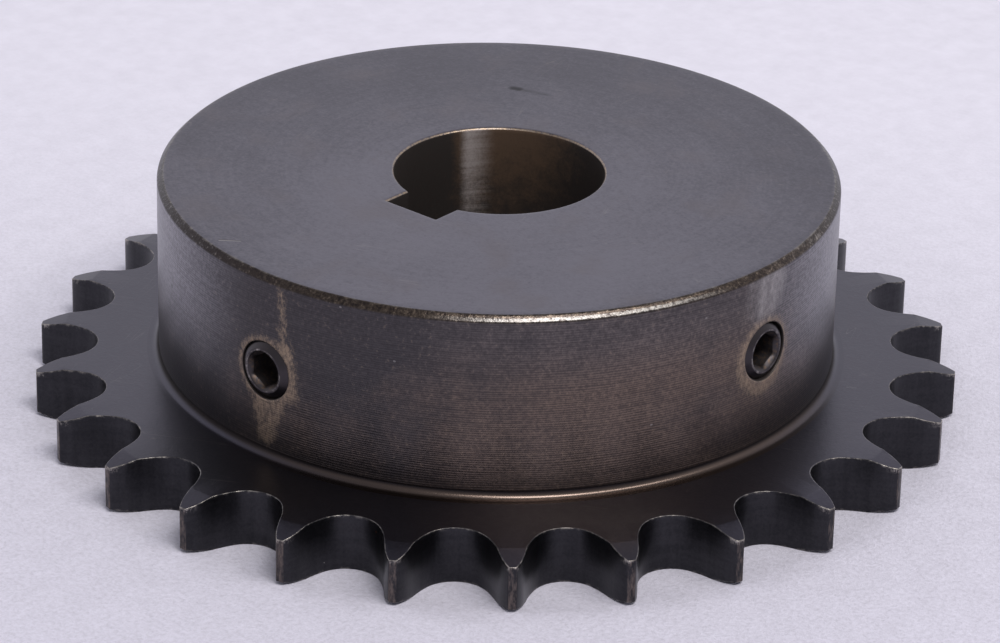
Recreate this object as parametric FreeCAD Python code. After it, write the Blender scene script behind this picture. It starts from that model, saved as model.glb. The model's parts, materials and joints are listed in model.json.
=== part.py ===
import FreeCAD, Part

import math
import os

from FreeCAD import Vector

# Roller chain sprocket with a solid hub on one side, held to its shaft by a key and two set screws.
# Frame: +Z runs along the bore from the plate's free face, which lies on the surface, to the hub's face.
# The origin is on the bore's axis in the plate's free face. The keyway points along -Y, and the second
# set screw stands at right angles to it, along +X.

# Chain, in mm: no. 50, of 5/8 in pitch and 0.400 in rollers
CHAIN_PITCH = 15.875
ROLLER_DIAMETER = 10.16
TOOTH_COUNT = 26

# Standard clearance of the roller in its seat: a share of the roller and a fixed part
SEAT_CLEARANCE_SHARE = 1.005
SEAT_CLEARANCE = 0.0762

# Toothed plate
PLATE_THICKNESS = 8.71
TIP_BEVEL_WIDTH = 3.9
TIP_BEVEL_DROP = 1.0
KEYWAY_TO_TOOTH_ANGLE = 1.3

# Hub
HUB_DIAMETER = 102.75
HUB_LENGTH = 37.4
HUB_RIM_BREAK = 0.9
HUB_FOOT_FILLET = 1.2

# Bore for a 1-1/4 in shaft, and its keyway for a 3/8 in key
BORE_DIAMETER = 31.75
KEY_WIDTH = 9.525
KEY_SIDE_CLEARANCE = 0.03
KEYWAY_SIDE_DEPTH = 4.76
BORE_EDGE_BREAK = 0.3

# Tapped holes for 3/8 in screws, each at a height of its own above the plate's free face.
# Hole and screw are plain cylinders that meet midway between the thread's crests and its roots.
THREAD_DIAMETER = 9.0
KEYWAY_HOLE_HEIGHT = 22.3
SIDE_HOLE_HEIGHT = 24.2

# Socket set screws with a cup point
THREAD_CLEARANCE = 0.05
SCREW_LENGTH = 25.4
KEYWAY_SCREW_PROUD = 0.35
SIDE_SCREW_PROUD = 0.1
HEAD_CHAMFER_WIDTH = 1.0
HEAD_CHAMFER_DEPTH = 0.8
HEX_ACROSS_FLATS = 4.7625
HEX_DEPTH = 5.2
HEX_LEAD_IN = 0.35
CUP_DIAMETER = 5.2
CUP_ANGLE = 118.0

# How far a cutting tool runs past the metal that it cuts
TOOL_OVERRUN = 2.0
TIP_OVERRUN = 0.2

# Worked out from the sizes above
PITCH_ANGLE = 360.0 / TOOTH_COUNT
HALF_PITCH_ANGLE = math.radians(PITCH_ANGLE / 2)
PITCH_RADIUS = CHAIN_PITCH / (2 * math.sin(HALF_PITCH_ANGLE))
OUTSIDE_RADIUS = CHAIN_PITCH * (0.6 + 1 / math.tan(HALF_PITCH_ANGLE)) / 2
HUB_RADIUS = HUB_DIAMETER / 2
BORE_RADIUS = BORE_DIAMETER / 2
KEYWAY_WIDTH = KEY_WIDTH + 2 * KEY_SIDE_CLEARANCE
KEYWAY_FLOOR = math.sqrt(BORE_RADIUS**2 - (KEYWAY_WIDTH / 2) ** 2) + KEYWAY_SIDE_DEPTH
THREAD_RADIUS = THREAD_DIAMETER / 2
SCREW_RADIUS = THREAD_RADIUS - THREAD_CLEARANCE

AXIS = Vector(0, 0, 1)
ORIGIN = Vector(0, 0, 0)
KEYWAY_DIRECTION = Vector(0, -1, 0)
SIDE_DIRECTION = Vector(1, 0, 0)


def polar(radius, angle):
    """A point in the plane of the plate's free face, the angle in radians from +X."""
    return Vector(radius * math.cos(angle), radius * math.sin(angle), 0)


def arc(centre, radius, first, last):
    """The shorter arc about a centre between two points on it."""
    middle = (first + last).multiply(0.5).sub(centre)
    middle.normalize()
    return Part.Arc(first, centre + middle.multiply(radius), last).toShape()


def revolved(points):
    """A solid of revolution about Z from (radius, height) points, closed by a line."""
    corners = [Vector(radius, 0, height) for radius, height in points]
    outline = Part.makePolygon(corners + corners[:1])
    return Part.Face(outline).revolve(ORIGIN, AXIS, 360)


def tooth_flank():
    """One flank of a tooth space by the standard roller chain form, and three points of its outline.

    The roller's centre is at (PITCH_RADIUS, 0). The seating curve is an arc about it. The working curve is
    an arc about a centre c on the far side of the roller. A short straight follows, tangent to both of its
    neighbours, and then the topping curve, an arc about a centre b close to the next roller, which runs out
    past the tooth's tip. The points are the seating curve's end, the root, and the topping curve's end.
    """
    seat_radius = (SEAT_CLEARANCE_SHARE * ROLLER_DIAMETER + SEAT_CLEARANCE) / 2
    seat_angle = math.radians(35 + 60 / TOOTH_COUNT)
    working_angle = math.radians(18 - 56 / TOOTH_COUNT)
    topping_angle = math.radians(17 - 64 / TOOTH_COUNT)
    roller = Vector(PITCH_RADIUS, 0, 0)

    c_reach = 0.8 * ROLLER_DIAMETER
    c = roller + Vector(c_reach * math.sin(seat_angle), -c_reach * math.cos(seat_angle), 0)
    b_reach = 1.4 * ROLLER_DIAMETER
    b = roller + Vector(-b_reach * math.sin(HALF_PITCH_ANGLE), b_reach * math.cos(HALF_PITCH_ANGLE), 0)
    working_radius = c_reach + seat_radius
    b_offset = c_reach * math.cos(working_angle) + b_reach * math.cos(topping_angle)
    topping_radius = b_offset - working_radius

    flank_angle = seat_angle - working_angle
    seat_end = c + Vector(-math.sin(seat_angle), math.cos(seat_angle), 0).multiply(working_radius)
    working_end = c + Vector(-math.sin(flank_angle), math.cos(flank_angle), 0).multiply(working_radius)
    topping_start = b - Vector(-math.sin(flank_angle), math.cos(flank_angle), 0).multiply(topping_radius)

    end_radius = OUTSIDE_RADIUS + TIP_OVERRUN
    b_radius = b.Length
    cosine = (b_radius**2 + end_radius**2 - topping_radius**2) / (2 * b_radius * end_radius)
    topping_end = polar(end_radius, math.atan2(b.y, b.x) - math.acos(cosine))
    flank = [
        arc(c, working_radius, seat_end, working_end),
        Part.makeLine(working_end, topping_start),
        arc(b, topping_radius, topping_start, topping_end),
    ]
    return flank, seat_end, roller - Vector(seat_radius, 0, 0), topping_end


def mirrored(point):
    """The point on the other side of the tooth space's centre line."""
    return Vector(point.x, -point.y, point.z)


def tooth_space():
    """The cutter for one space between two teeth, centred on +X, open at its outer end."""
    flank, seat_end, root, tip = tooth_flank()
    seat = Part.Arc(mirrored(seat_end), root, seat_end).toShape()
    other_flank = [edge.mirror(ORIGIN, Vector(0, 1, 0)) for edge in flank]
    outer = tip + Vector(TOOL_OVERRUN, 0, 0)
    closing = Part.makePolygon([tip, outer, mirrored(outer), mirrored(tip)])
    outline = Part.Wire(Part.__sortEdges__([seat] + flank + other_flank + closing.Edges))
    cutter = Part.Face(outline).extrude(Vector(0, 0, PLATE_THICKNESS + 2 * TOOL_OVERRUN))
    cutter.translate(Vector(0, 0, -TOOL_OVERRUN))
    return cutter


def turned_blank():
    """The blank as it leaves the lathe: plate with both tips bevelled, fillet at the hub's foot, broken rim."""
    bevel_radius = OUTSIDE_RADIUS - TIP_BEVEL_WIDTH
    fillet_middle = HUB_FOOT_FILLET * (1 - math.sqrt(0.5))
    foot_outer = Vector(HUB_RADIUS + HUB_FOOT_FILLET, 0, PLATE_THICKNESS)
    foot_middle = Vector(HUB_RADIUS + fillet_middle, 0, PLATE_THICKNESS + fillet_middle)
    foot_upper = Vector(HUB_RADIUS, 0, PLATE_THICKNESS + HUB_FOOT_FILLET)
    plate_side = [
        ORIGIN,
        Vector(bevel_radius, 0, 0),
        Vector(OUTSIDE_RADIUS, 0, TIP_BEVEL_DROP),
        Vector(OUTSIDE_RADIUS, 0, PLATE_THICKNESS - TIP_BEVEL_DROP),
        Vector(bevel_radius, 0, PLATE_THICKNESS),
        foot_outer,
    ]
    hub_side = [
        foot_upper,
        Vector(HUB_RADIUS, 0, HUB_LENGTH - HUB_RIM_BREAK),
        Vector(HUB_RADIUS - HUB_RIM_BREAK, 0, HUB_LENGTH),
        Vector(0, 0, HUB_LENGTH),
        ORIGIN,
    ]
    edges = Part.makePolygon(plate_side).Edges
    edges.append(Part.Arc(foot_outer, foot_middle, foot_upper).toShape())
    edges.extend(Part.makePolygon(hub_side).Edges)
    return Part.Face(Part.Wire(edges)).revolve(ORIGIN, AXIS, 360)


def keyed_bore():
    """The cutter for the bore and its keyway, through both faces."""
    height = HUB_LENGTH + 2 * TOOL_OVERRUN
    start = Vector(0, 0, -TOOL_OVERRUN)
    bore = Part.makeCylinder(BORE_RADIUS, height, start)
    corner = Vector(-KEYWAY_WIDTH / 2, -KEYWAY_FLOOR, -TOOL_OVERRUN)
    slot = Part.makeBox(KEYWAY_WIDTH, KEYWAY_FLOOR, height, corner)
    return bore.fuse(slot).removeSplitter()


def bore_mouth_edges(body):
    """The edges of the bore and the keyway in the two end faces."""
    found = []
    for edge in body.Edges:
        box = edge.BoundBox
        flat = box.ZLength < 0.001
        in_face = min(abs(box.ZMin), abs(box.ZMin - HUB_LENGTH)) < 0.001
        near_axis = max(box.XMax, box.YMax, -box.XMin, -box.YMin) < KEYWAY_FLOOR + 0.001
        if flat and in_face and near_axis:
            found.append(edge)
    return found


def tapped_hole(direction, height):
    """The cutter for a hole from outside the hub's wall to the bore's axis."""
    return Part.makeCylinder(THREAD_RADIUS, HUB_RADIUS + TOOL_OVERRUN, Vector(0, 0, height), direction)


def sprocket_body():
    """Plate, teeth and hub, all of one piece of steel."""
    body = turned_blank().cut(keyed_bore())
    body = body.makeChamfer(BORE_EDGE_BREAK, bore_mouth_edges(body))
    space = tooth_space()
    first = -90 + KEYWAY_TO_TOOTH_ANGLE + PITCH_ANGLE / 2
    spaces = []
    for index in range(TOOTH_COUNT):
        cutter = space.copy()
        cutter.rotate(ORIGIN, AXIS, first + index * PITCH_ANGLE)
        spaces.append(cutter)
    holes = [
        tapped_hole(KEYWAY_DIRECTION, KEYWAY_HOLE_HEIGHT),
        tapped_hole(SIDE_DIRECTION, SIDE_HOLE_HEIGHT),
    ]
    return body.cut(spaces + holes)


def set_screw():
    """A set screw standing on its cup point, its head's face in the plane z = SCREW_LENGTH."""
    point_rise = SCREW_RADIUS - CUP_DIAMETER / 2
    cup_depth = CUP_DIAMETER / 2 / math.tan(math.radians(CUP_ANGLE / 2))
    body = revolved(
        [
            (0, cup_depth),
            (CUP_DIAMETER / 2, 0),
            (SCREW_RADIUS, point_rise),
            (SCREW_RADIUS, SCREW_LENGTH - HEAD_CHAMFER_DEPTH),
            (SCREW_RADIUS - HEAD_CHAMFER_WIDTH, SCREW_LENGTH),
            (0, SCREW_LENGTH),
        ]
    )
    corner_radius = HEX_ACROSS_FLATS / math.sqrt(3)
    corners = [polar(corner_radius, math.radians(60 * index)) for index in range(6)]
    hexagon = Part.Face(Part.makePolygon(corners + corners[:1]))
    socket = hexagon.extrude(Vector(0, 0, HEX_DEPTH))
    socket.translate(Vector(0, 0, SCREW_LENGTH - HEX_DEPTH))
    mouth_radius = corner_radius + HEX_LEAD_IN
    cone_height = mouth_radius + TIP_OVERRUN
    lead_in = Part.makeCone(0, cone_height, cone_height, Vector(0, 0, SCREW_LENGTH - mouth_radius))
    return body.cut([socket, lead_in])


def seated_screw(direction, height, proud):
    """The set screw on its hole's axis, its head standing out of the hub's wall and a hexagon corner upmost."""
    screw = set_screw()
    tip_distance = HUB_RADIUS + proud - SCREW_LENGTH
    turn = FreeCAD.Rotation(AXIS, Vector(), direction, "ZXY")
    place = Vector(0, 0, height) + Vector(direction).multiply(tip_distance)
    screw.Placement = FreeCAD.Placement(place, turn)
    return screw


parts = {
    "sprocket": sprocket_body(),
    "keyway_set_screw": seated_screw(KEYWAY_DIRECTION, KEYWAY_HOLE_HEIGHT, KEYWAY_SCREW_PROUD),
    "side_set_screw": seated_screw(SIDE_DIRECTION, SIDE_HOLE_HEIGHT, SIDE_SCREW_PROUD),
}

os.makedirs("parts", exist_ok=True)
for name, shape in parts.items():
    shape.exportStep(f"parts/{name}.step")
    print(name, shape.isValid(), len(shape.Solids), len(shape.Faces), round(shape.Volume, 1))
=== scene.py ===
import json
import math

import bpy
import numpy as np
from mathutils import Matrix


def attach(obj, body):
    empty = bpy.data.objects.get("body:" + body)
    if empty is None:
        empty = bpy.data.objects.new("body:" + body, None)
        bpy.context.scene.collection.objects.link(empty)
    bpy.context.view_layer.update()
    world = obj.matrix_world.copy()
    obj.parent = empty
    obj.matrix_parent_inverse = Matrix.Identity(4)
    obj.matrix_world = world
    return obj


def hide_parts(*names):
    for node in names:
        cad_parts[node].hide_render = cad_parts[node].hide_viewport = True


# The looks of a roller chain sprocket and its two set screws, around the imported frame.
# Shapes are worked out in millimetres, in the frame's own axes, and become metres when a mesh is made.

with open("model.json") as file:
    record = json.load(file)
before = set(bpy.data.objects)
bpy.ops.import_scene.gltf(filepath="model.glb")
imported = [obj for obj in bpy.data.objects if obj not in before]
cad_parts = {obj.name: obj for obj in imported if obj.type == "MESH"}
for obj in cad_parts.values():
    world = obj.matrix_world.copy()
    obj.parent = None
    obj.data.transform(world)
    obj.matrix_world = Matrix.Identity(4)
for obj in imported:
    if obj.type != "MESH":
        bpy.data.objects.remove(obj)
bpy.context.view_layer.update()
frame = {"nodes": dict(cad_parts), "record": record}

MM = 0.001


def node_vertices(name):
    """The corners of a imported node's mesh, in mm."""
    mesh = frame["nodes"][name].data
    flat = np.zeros(len(mesh.vertices) * 3, np.float32)
    mesh.vertices.foreach_get("co", flat)
    return flat.reshape(-1, 3) / MM


def mount(name):
    """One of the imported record's mounts, by its name."""
    return next(entry for entry in frame["record"]["mounts"] if entry["name"] == name)


# Sizes that come from the frame, in mm
SPROCKET = node_vertices("sprocket")
KEYWAY_SCREW = node_vertices("keyway_set_screw")
SIDE_SCREW = node_vertices("side_set_screw")
OUTSIDE_RADIUS = float(np.hypot(SPROCKET[:, 0], SPROCKET[:, 1]).max())
HUB_LENGTH = float(SPROCKET[:, 2].max())
BORE_RADIUS = mount("bore")["dims"]["r_mm"]
KEYWAY_HOLE_HEIGHT = float(KEYWAY_SCREW[:, 2].min() + KEYWAY_SCREW[:, 2].max()) / 2
SIDE_HOLE_HEIGHT = float(SIDE_SCREW[:, 2].min() + SIDE_SCREW[:, 2].max()) / 2
SCREW_RADIUS = float(np.ptp(KEYWAY_SCREW[:, 0])) / 2
KEYWAY_SCREW_OUT = float(-KEYWAY_SCREW[:, 1].min())
KEYWAY_SCREW_IN = float(-KEYWAY_SCREW[:, 1].max())
SIDE_SCREW_OUT = float(SIDE_SCREW[:, 0].max())

# Chain and tooth form, in mm, with the standard form's own angles and reaches
CHAIN_PITCH = 15.875
ROLLER_DIAMETER = 10.16
TOOTH_COUNT = 26
SEAT_CLEARANCE_SHARE = 1.005
SEAT_CLEARANCE = 0.0762
SEAT_ANGLE = math.radians(35 + 60 / TOOTH_COUNT)
WORKING_ANGLE = math.radians(18 - 56 / TOOTH_COUNT)
TOPPING_ANGLE = math.radians(17 - 64 / TOOTH_COUNT)
WORKING_CENTRE_REACH = 0.8 * ROLLER_DIAMETER
TOPPING_CENTRE_REACH = 1.4 * ROLLER_DIAMETER
KEYWAY_TO_TOOTH_ANGLE = math.radians(1.3)
PITCH_ANGLE = 2 * math.pi / TOOTH_COUNT

# Plate, hub, bore and keyway, in mm
PLATE_THICKNESS = 8.71
TIP_BEVEL_WIDTH = 3.9
TIP_BEVEL_DROP = 1.0
HUB_RADIUS = 51.375
HUB_RIM_BREAK = 0.9
HUB_FOOT_FILLET = 1.2
KEYWAY_HALF_WIDTH = 4.7925
KEYWAY_SIDE_DEPTH = 4.76
KEYWAY_FLOOR = math.sqrt(BORE_RADIUS**2 - KEYWAY_HALF_WIDTH**2) + KEYWAY_SIDE_DEPTH
BORE_EDGE_BREAK = 0.3

# Threads: a fine 3/8 in thread of 24 turns to the inch, about the frame's plain cylinders
THREAD_PITCH = 25.4 / 24
THREAD_HALF_HEIGHT = 0.27
THREAD_CLEARANCE = 0.05
HOLE_RADIUS = SCREW_RADIUS + THREAD_CLEARANCE
THREAD_RUN_OUT = 1.3

# Set screws, in mm
SCREW_LENGTH = KEYWAY_SCREW_OUT - KEYWAY_SCREW_IN
HEX_FLAT_RADIUS = 4.7625 / 2
HEX_CORNER_RADIUS = HEX_FLAT_RADIUS * 1.135
HEX_DEPTH = 5.2
SOCKET_MOUTH_RADIUS = 3.1
DRILL_POINT_DEPTH = 0.9
HEAD_CHAMFER_WIDTH = 1.0
HEAD_CHAMFER_DEPTH = 0.8
CUP_RADIUS = 2.6
CUP_DEPTH = 1.56

# How soft the worn edges are, in mm
TOOTH_EDGE_ROUND = 0.12
TOOTH_EDGE_REST = 0.1
RIM_EDGE_ROUND = 0.22
SMALL_EDGE_ROUND = 0.12

# All rings start at this angle, in the middle of the keyway
RING_START = -math.pi / 2


class Surface:
    """Faces gathered from grids and bridges, each with a finish, and a wear value at each corner."""

    def __init__(self):
        self.points = []
        self.wear = []
        self.faces = []
        self.finishes = []
        self.count = 0

    def add_points(self, points, wear):
        start = self.count
        flat = np.asarray(points, float).reshape(-1, 3)
        self.points.append(flat)
        self.wear.append(np.broadcast_to(wear, np.shape(points)[:-1]).ravel())
        self.count += len(flat)
        return start

    def add_faces(self, faces, finish, flip):
        """Triangles or quads, as rows of corners. flip turns them over."""
        if flip:
            faces = faces[:, ::-1]
        if faces.shape[1] == 3:
            faces = np.column_stack([faces, faces[:, 2]])
        self.faces.append(faces)
        self.finishes.append(np.full(len(faces), finish))

    def grid(self, points, finish, wear=0.0, flip=False, skip=None):
        """Quads between neighbouring rows, each row a closed ring. skip is a mask of quads left out."""
        rows, columns = points.shape[:2]
        start = self.add_points(points, wear)
        index = start + np.arange(rows * columns).reshape(rows, columns)
        beside = np.roll(index, -1, axis=1)
        quads = np.stack([index[:-1], beside[:-1], beside[1:], index[1:]], axis=-1)
        quads = quads.reshape(-1, 4) if skip is None else quads[~skip]
        self.add_faces(quads, finish, flip)

    def bridge(self, outer, inner, finish, flip=False):
        """Triangles between two closed rings of unlike counts, walked round together: each step takes the
        ring whose next point comes first by angle."""
        first = self.add_points(outer, 0.0)
        second = self.add_points(inner, 0.0)
        outer_count, inner_count = len(outer), len(inner)
        keys = np.concatenate([turn_along(outer), turn_along(inner)])
        is_outer = np.argsort(keys, kind="stable") < outer_count
        outer_step = np.cumsum(is_outer) - is_outer
        inner_step = np.cumsum(~is_outer) - ~is_outer
        here_outer = first + outer_step % outer_count
        here_inner = second + inner_step % inner_count
        next_outer = first + (outer_step + 1) % outer_count
        next_inner = second + (inner_step + 1) % inner_count
        following = np.where(is_outer, next_outer, next_inner)
        triangles = np.stack([here_outer, following, here_inner], axis=-1)
        self.add_faces(triangles, finish, flip)

    def fan(self, ring, centre, finish, flip=False):
        """Triangles from a closed ring to one point."""
        start = self.add_points(ring, 0.0)
        middle = self.add_points(np.asarray(centre, float)[None], 0.0)
        index = start + np.arange(len(ring))
        beside = np.roll(index, -1)
        triangles = np.stack([index, beside, np.full(len(ring), middle)], axis=-1)
        self.add_faces(triangles, finish, flip)

    def piece(self, name, finishes):
        """The mesh object: points in the same place are joined, so that each face has each corner once, and
        faces left without an area go."""
        points = np.concatenate(self.points)
        wear = np.concatenate(self.wear)
        faces = np.concatenate(self.faces)
        finish = np.concatenate(self.finishes)
        _, first, place = np.unique(np.round(points, 4), axis=0, return_index=True, return_inverse=True)
        faces = place.reshape(-1)[faces]
        distinct = (faces != np.roll(faces, -1, axis=1)).sum(axis=1)
        keep = distinct >= 3
        finish = finish[keep]
        used, faces = np.unique(faces[keep], return_inverse=True)
        faces = faces.reshape(-1, 4)
        first = first[used]
        mesh = bpy.data.meshes.new(name)
        corners = [list(dict.fromkeys(face)) for face in faces.tolist()]
        mesh.from_pydata((points[first] * MM).tolist(), [], corners)
        for material in finishes:
            mesh.materials.append(material)
        mesh.polygons.foreach_set("material_index", finish.astype(np.int32))
        mesh.polygons.foreach_set("use_smooth", np.ones(len(corners), bool))
        attribute = mesh.attributes.new("wear", "FLOAT", "POINT")
        attribute.data.foreach_set("value", wear[first].astype(np.float32))
        mesh.update()
        piece = bpy.data.objects.new(name, mesh)
        bpy.context.scene.collection.objects.link(piece)
        return piece


def turn_along(ring):
    """For each step to the ring's next point, the angle at its middle, growing along the ring."""
    angle = np.unwrap(np.arctan2(ring[:, 1], ring[:, 0]))
    angle = np.maximum.accumulate(angle)
    angle = angle - 2 * math.pi * round((angle[0] - RING_START) / (2 * math.pi))
    following = np.append(angle[1:], angle[0] + 2 * math.pi)
    return (angle + following) / 2


def level(ring, height):
    """A flat ring of (x, y) points lifted to a height, which is one number or one for each point."""
    return np.column_stack([ring, np.broadcast_to(height, len(ring))])


def polar(radius, angle):
    """(x, y) at a radius and at one angle or many."""
    return radius * np.stack([np.cos(angle), np.sin(angle)], axis=-1)


def circle(radius, count):
    """Points of a circle, evenly spaced, starting at RING_START."""
    return polar(radius, RING_START + 2 * math.pi * np.arange(count) / count)


def arc_points(centre, radius, start, end, steps):
    """Points of an arc between two angles, both ends included."""
    return centre + polar(radius, np.linspace(start, end, steps + 1))


# Points along half a tooth space, and along a tooth's tip
SEAT_STEPS = 8
WORKING_STEPS = 4
TOPPING_STEPS = 7
TIP_STEPS = 4


def tooth_outline():
    """The outline of all teeth by the standard roller chain form.

    The seating curve is an arc about the roller's centre. The working curve is an arc about a centre on
    the far side of the roller, and after a short straight the topping curve is an arc about a centre close
    to the next roller, up to the tip's circle.
    """
    half = PITCH_ANGLE / 2
    pitch_radius = CHAIN_PITCH / (2 * math.sin(half))
    seat_radius = (SEAT_CLEARANCE_SHARE * ROLLER_DIAMETER + SEAT_CLEARANCE) / 2
    roller = np.array([pitch_radius, 0.0])
    working_centre = roller + WORKING_CENTRE_REACH * np.array([math.sin(SEAT_ANGLE), -math.cos(SEAT_ANGLE)])
    topping_centre = roller + TOPPING_CENTRE_REACH * np.array([-math.sin(half), math.cos(half)])
    working_radius = WORKING_CENTRE_REACH + seat_radius
    topping_radius = WORKING_CENTRE_REACH * math.cos(WORKING_ANGLE) - working_radius
    topping_radius += TOPPING_CENTRE_REACH * math.cos(TOPPING_ANGLE)
    reach = math.hypot(*topping_centre)
    cosine = (reach**2 + OUTSIDE_RADIUS**2 - topping_radius**2) / (2 * reach * OUTSIDE_RADIUS)
    tip_angle = math.atan2(topping_centre[1], topping_centre[0]) - math.acos(cosine)
    last = polar(OUTSIDE_RADIUS, tip_angle) - topping_centre

    seat_end = math.pi / 2 + SEAT_ANGLE
    working_end = seat_end - WORKING_ANGLE
    seat = arc_points(roller, seat_radius, math.pi, seat_end, SEAT_STEPS)
    working = arc_points(working_centre, working_radius, seat_end, working_end, WORKING_STEPS)
    start, end = working_end - math.pi, math.atan2(last[1], last[0])
    topping = arc_points(topping_centre, topping_radius, start, end, TOPPING_STEPS)
    flank = np.vstack([seat, working[1:], topping])
    space = np.vstack([flank[::-1] * [1, -1], flank[1:]])
    land = arc_points(np.zeros(2), OUTSIDE_RADIUS, tip_angle, PITCH_ANGLE - tip_angle, TIP_STEPS)[1:-1]
    space = np.vstack([space, land])

    first = RING_START + KEYWAY_TO_TOOTH_ANGLE + PITCH_ANGLE / 2
    angle = first + PITCH_ANGLE * np.arange(TOOTH_COUNT)
    cosine, sine = np.cos(angle)[:, None], np.sin(angle)[:, None]
    x = cosine * space[:, 0] - sine * space[:, 1]
    y = sine * space[:, 0] + cosine * space[:, 1]
    return np.stack([x.ravel(), y.ravel()], axis=-1)


def inward(outline):
    """For each point of a closed outline that runs anticlockwise, the step that moves both of its sides
    inwards by 1: the sum of the sides' unit normals over 1 plus their product."""
    ahead = np.roll(outline, -1, axis=0) - outline
    behind = outline - np.roll(outline, 1, axis=0)
    normals = []
    for side in (ahead, behind):
        side /= np.linalg.norm(side, axis=1)[:, None]
        normals.append(np.column_stack([-side[:, 1], side[:, 0]]))
    product = (normals[0] * normals[1]).sum(axis=1)
    return (normals[0] + normals[1]) / (1 + product)[:, None]


def plate_height(ring):
    """The height of the plate's upper face at each point: flat, then falling to the tips along a cone."""
    radius = np.hypot(ring[:, 0], ring[:, 1])
    share = np.clip((radius - (OUTSIDE_RADIUS - TIP_BEVEL_WIDTH)) / TIP_BEVEL_WIDTH, 0, 1)
    return PLATE_THICKNESS - TIP_BEVEL_DROP * share


# Numbers of points round the rings, and the finishes' places in the sprocket's list
HUB_COLUMNS = 480
BORE_COLUMNS = 132
FACE, WALL, BORE, TOOTH = range(4)

# Radii of the rings where one part of the mesh hands over to the next, in mm
PLATE_RING = 57.5
PLATE_RING_WIDTH = 1.5
FOOT_RING = HUB_RADIUS + HUB_FOOT_FILLET + 0.6
FACE_RING = 26.0
BORE_RING = 23.0

# Rings on both sides of the bevel's start: the distance from it, and the least distance from the edge, in mm
BEVEL_RINGS = ((-0.15, 0.5), (0.15, 0.25))
# The plate's rings that keep the face's finish, as far as the first one on the rounded edge
FACE_STATIONS = 7
# Rows down the teeth's flanks as shares of the way, and how worn each is
FLANK_SHARES = np.array([0.0, 0.08, 0.35, 0.65, 0.92, 1.0])
FLANK_WEAR = np.array([0.8, 0.15, 0.0, 0.0, 0.15, 0.8])


def toothed_plate(surface):
    """The plate from a ring outside the hub's foot over its upper face, round the teeth and back below it.

    Every station is a ring of as many points as the outline has. On the faces it is a share of the way from
    the inner circle to the outline, and at the edges a quarter circle of TOOTH_EDGE_ROUND.
    """
    outline = tooth_outline()
    normal = inward(outline)
    bevel_radius = OUTSIDE_RADIUS - TIP_BEVEL_WIDTH
    setback = outline + TOOTH_EDGE_ROUND * normal
    rest = setback + TOOTH_EDGE_REST * normal
    rest_radius = np.hypot(rest[:, 0], rest[:, 1])
    spoke = rest / rest_radius[:, None]
    stations = []
    wear = []
    for reach in (PLATE_RING, PLATE_RING + PLATE_RING_WIDTH):
        stations.append(level(spoke * reach, PLATE_THICKNESS))
        wear.append(0.0)
    for offset, inset in BEVEL_RINGS:
        reach = np.minimum(bevel_radius + offset, rest_radius - inset)
        ring = spoke * reach[:, None]
        stations.append(level(ring, plate_height(ring)))
        wear.append(0.0)
    for ring, worn in ((rest, 0.25), (setback, 0.8)):
        stations.append(level(ring, plate_height(ring)))
        wear.append(worn)
    top = plate_height(setback)
    for angle, worn in ((30, 1.0), (60, 1.0), (90, 0.8)):
        turn = math.radians(angle)
        ring = outline + TOOTH_EDGE_ROUND * (1 - math.sin(turn)) * normal
        stations.append(level(ring, top - TOOTH_EDGE_ROUND * (1 - math.cos(turn))))
        wear.append(worn)
    upper = np.stack(stations)
    lower = upper[::-1] * [1, 1, -1] + [0, 0, PLATE_THICKNESS]
    flank = upper[-1] + (lower[0] - upper[-1]) * FLANK_SHARES[:, None, None]
    wear = np.array(wear)
    edge = FACE_STATIONS - 1
    for rows, finish, worn in (
        (upper[:edge + 1], FACE, wear[:edge + 1]),
        (upper[edge:], TOOTH, wear[edge:]),
        (flank, TOOTH, FLANK_WEAR),
        (lower[:-edge], TOOTH, wear[::-1][:-edge]),
        (lower[-edge - 1:], FACE, wear[::-1][-edge - 1:]),
    ):
        surface.grid(rows, finish, worn[:, None], flip=True)
    return upper[0], lower[-1]


def hub_profile():
    """(radius, height, wear) down the hub's outside: face, broken rim, wall and the fillet at its foot."""
    soft = RIM_EDGE_ROUND
    inner = HUB_RADIUS - HUB_RIM_BREAK
    rim_low = HUB_LENGTH - HUB_RIM_BREAK
    profile = [
        (FACE_RING, HUB_LENGTH, 0.0),
        (inner - 6 * soft, HUB_LENGTH, 0.0),
        (inner - soft, HUB_LENGTH, 0.55),
        (inner - 0.4 * soft, HUB_LENGTH - 0.1 * soft, 0.9),
        (inner + 0.2 * soft, HUB_LENGTH - 0.3 * soft, 0.75),
        (inner + 0.9 * soft, HUB_LENGTH - 0.9 * soft, 0.2),
        (HUB_RADIUS - 0.9 * soft, rim_low + 0.9 * soft, 0.1),
        (HUB_RADIUS - 0.3 * soft, rim_low + 0.2 * soft, 0.3),
        (HUB_RADIUS - 0.1 * soft, rim_low - 0.4 * soft, 0.3),
        (HUB_RADIUS, rim_low - soft, 0.1),
    ]
    for height in WALL_HEIGHTS[::-1]:
        profile.append((HUB_RADIUS, height, 0.0))
    for angle in np.radians(np.linspace(0, 90, 8)):
        reach = HUB_FOOT_FILLET * (1 - math.cos(angle))
        rise = HUB_FOOT_FILLET * (1 - math.sin(angle))
        profile.append((HUB_RADIUS + reach, PLATE_THICKNESS + rise, 0.0))
    profile.append((FOOT_RING, PLATE_THICKNESS, 0.0))
    return profile


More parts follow.
